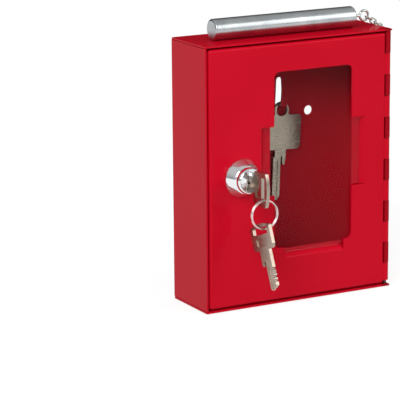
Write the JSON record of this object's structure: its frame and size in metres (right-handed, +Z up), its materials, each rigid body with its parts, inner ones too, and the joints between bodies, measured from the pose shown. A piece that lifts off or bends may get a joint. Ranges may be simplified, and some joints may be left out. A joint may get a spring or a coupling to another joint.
{
  "type": "break glass key box",
  "caption": "Red steel emergency key box with a glazed, locked door, keys on a split ring, a key on the inner hook and a chained striker bar on top.",
  "frame": {"origin": "centre of the bottom face of the steel case", "axes": "+X right as seen from the front, -Y out of the door, +Z up"},
  "size_m": [0.1242, 0.0771, 0.1621],
  "materials": {
    "red_paint": "gloss",
    "pane": "clear",
    "chrome": "polished",
    "key_nickel": "satin",
    "steel_bar": "fine turned",
    "zinc_steel": "zinc plated",
    "brass": "satin"
  },
  "bodies": {
    "case": {"body_shell": "red_paint", "latch_keeper": "red_paint", "hinge_pin": "zinc_steel", "chain_staple": "zinc_steel"},
    "door": {"door_panel": "red_paint", "glass_pane": "pane", "lock_housing": "chrome", "lock_washer": "zinc_steel", "lock_nut": "zinc_steel"},
    "plug": {"lock_plug": "chrome", "plug_wafer_1": "brass", "plug_wafer_2": "brass", "plug_wafer_3": "brass", "plug_wafer_4": "brass", "lock_cam": "zinc_steel", "cam_washer": "zinc_steel", "cam_screw": "zinc_steel"},
    "door_key": {"door_key": "key_nickel"},
    "key_ring": {"key_ring": "chrome"},
    "spare_key": {"spare_key": "key_nickel"},
    "emergency_key": {"emergency_key": "key_nickel"},
    "side_chain": {"chain_link_4": "chrome", "chain_link_5": "chrome", "chain_link_6": "chrome"},
    "top_chain": {"chain_link_1": "chrome", "chain_link_2": "chrome", "chain_link_3": "chrome"},
    "striker": {"striker_rod": "steel_bar", "striker_eye": "chrome"}
  },
  "joints": [
    {"name": "door_hinge", "type": "hinge", "parent": "case", "child": "door", "pos_m": [0.05794, -0.01794, 0.075], "axis": [0, 0, 1], "range_deg": [0, 170]},
    {"name": "plug_turn", "type": "hinge", "parent": "door", "child": "plug", "pos_m": [-0.0373, -0.02, 0.075], "axis": [0, 1, 0], "range_deg": [0, 90]},
    {"name": "key_slide", "type": "slide", "parent": "plug", "child": "door_key", "axis": [0, -1, 0], "range_m": [0, 0.025]},
    {"name": "ring_swing", "type": "hinge", "parent": "door_key", "child": "key_ring", "pos_m": [-0.0373, -0.0447, 0.0673], "axis": [1, 0, 0], "range_deg": [-20, 30]},
    {"name": "spare_key_swing", "type": "hinge", "parent": "key_ring", "child": "spare_key", "pos_m": [-0.0373, -0.0447, 0.0514], "axis": [1, 0, 0], "range_deg": [-15, 15]},
    {"name": "emergency_key_swing", "type": "hinge", "parent": "case", "child": "emergency_key", "pos_m": [0.0086, 0.0164, 0.1048], "axis": [0, 1, 0], "range_deg": [-10, 10]},
    {"name": "chain_swing", "type": "hinge", "parent": "case", "child": "side_chain", "pos_m": [0.06236, -0.004, 0.14045], "axis": [0, 1, 0], "range_deg": [0, 160]},
    {"name": "chain_knee", "type": "hinge", "parent": "side_chain", "child": "top_chain", "pos_m": [0.06236, -0.004, 0.14946], "axis": [0, 1, 0], "range_deg": [0, 50]},
    {"name": "striker_swing", "type": "hinge", "parent": "top_chain", "child": "striker", "pos_m": [0.05248, -0.004, 0.15539], "axis": [0, 1, 0], "range_deg": [0, 40]}
  ]
}
